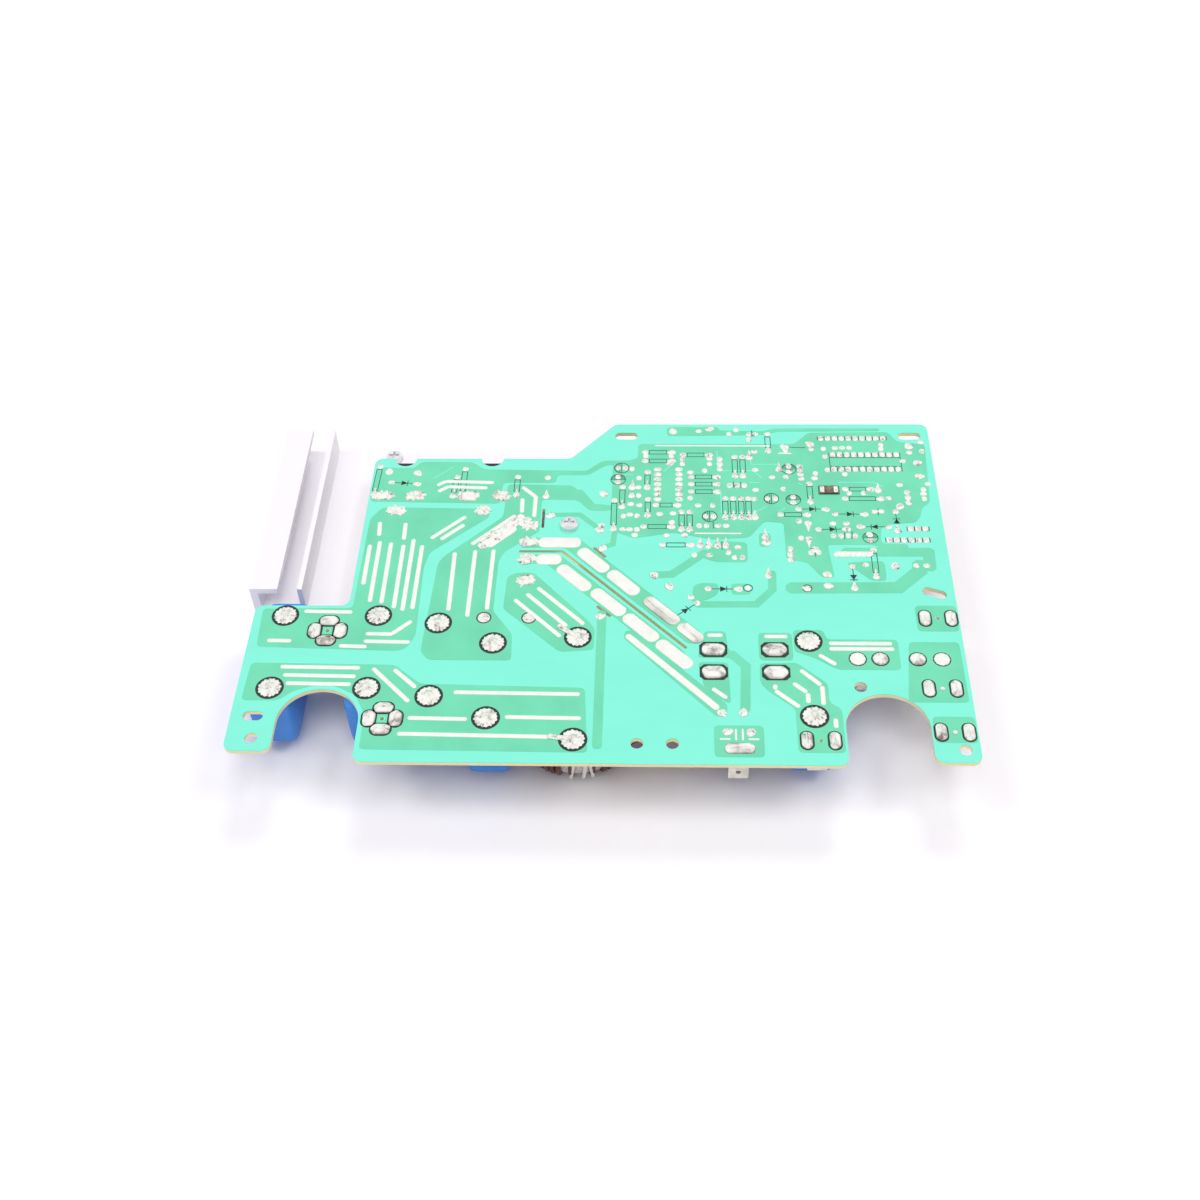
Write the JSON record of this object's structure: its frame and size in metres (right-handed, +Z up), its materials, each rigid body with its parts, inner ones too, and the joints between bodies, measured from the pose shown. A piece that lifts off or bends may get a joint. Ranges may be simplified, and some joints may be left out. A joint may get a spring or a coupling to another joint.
{
  "type": "induction fryer main board",
  "caption": "Power board for an induction fryer, solder side up: notched green board with tinned tracks over blue film capacitors, a ring choke and a finned heat sink.",
  "frame": {"origin": "bottom centre of the whole assembly as it lies, on the floor below the heat sink and the filter choke", "axes": "+X along the board's long side, +Y from the notched front edge to the back edge, +Z up out of the solder side"},
  "size_m": [0.2366, 0.1536, 0.0276],
  "materials": {
    "green_lacquer": "glossy solder lacquer",
    "tin": "bright solder",
    "black_ink": "printed ink",
    "aluminium": "plain extruded",
    "black_epoxy": "moulded epoxy",
    "zinc_steel": "zinc plated",
    "blue_case": "moulded case",
    "ferrite": "pressed ferrite",
    "iron_powder": "coated powder core",
    "enamel_copper": "enamelled wire",
    "tinned_brass": "tinned",
    "fuse_glass": "clear",
    "yellow_tape": "polyester tape",
    "tan_lacquer": "dipped lacquer",
    "white_nylon": "moulded"
  },
  "bodies": {
    "root": {"circuit_board": "green_lacquer", "tin_strips": "tin", "tin_bars": "tin", "ring_inks": "black_ink", "ring_joints": "tin", "power_joints": "tin", "fuse_joints": "tin", "filter_joints": "tin", "tab_joints": "tin", "terminal_joints": "tin", "signal_joints": "tin", "chip_resistor": "black_epoxy", "heat_sink": "aluminium", "power_transistor_left": "black_epoxy", "power_transistor_right": "black_epoxy", "package_screw_left": "zinc_steel", "package_screw_right": "zinc_steel", "board_screw": "zinc_steel", "sink_screw": "zinc_steel", "bridge_rectifier": "black_epoxy", "coil_capacitor_1": "blue_case", "coil_capacitor_2": "blue_case", "coil_capacitor_3": "blue_case", "coil_capacitor_4": "blue_case", "mains_capacitor": "blue_case", "choke_core": "iron_powder", "choke_winding": "enamel_copper", "spade_tab_back": "tinned_brass", "spade_tab_middle": "tinned_brass", "spade_tab_corner": "tinned_brass", "spade_tab_inner": "tinned_brass", "spade_tab_front": "tinned_brass", "coil_terminal_back": "tinned_brass", "coil_terminal_front": "tinned_brass", "coil_screw_back": "zinc_steel", "coil_screw_front": "zinc_steel", "fuse": "fuse_glass", "fuse_clip_left": "tinned_brass", "fuse_clip_right": "tinned_brass", "varistor": "blue_case", "filter_base": "black_epoxy", "filter_core": "ferrite", "filter_coil_front": "enamel_copper", "filter_coil_back": "enamel_copper", "transformer_core": "ferrite", "transformer_base": "black_epoxy", "transformer_winding": "yellow_tape", "resistors": "tan_lacquer", "diodes": "black_epoxy", "electrolytic_capacitors": "black_epoxy", "transistors": "black_epoxy", "controller_chip": "black_epoxy", "comparator_chip": "black_epoxy", "panel_connector": "white_nylon", "sensor_connector": "white_nylon", "fan_connector": "white_nylon"}
  },
  "joints": []
}
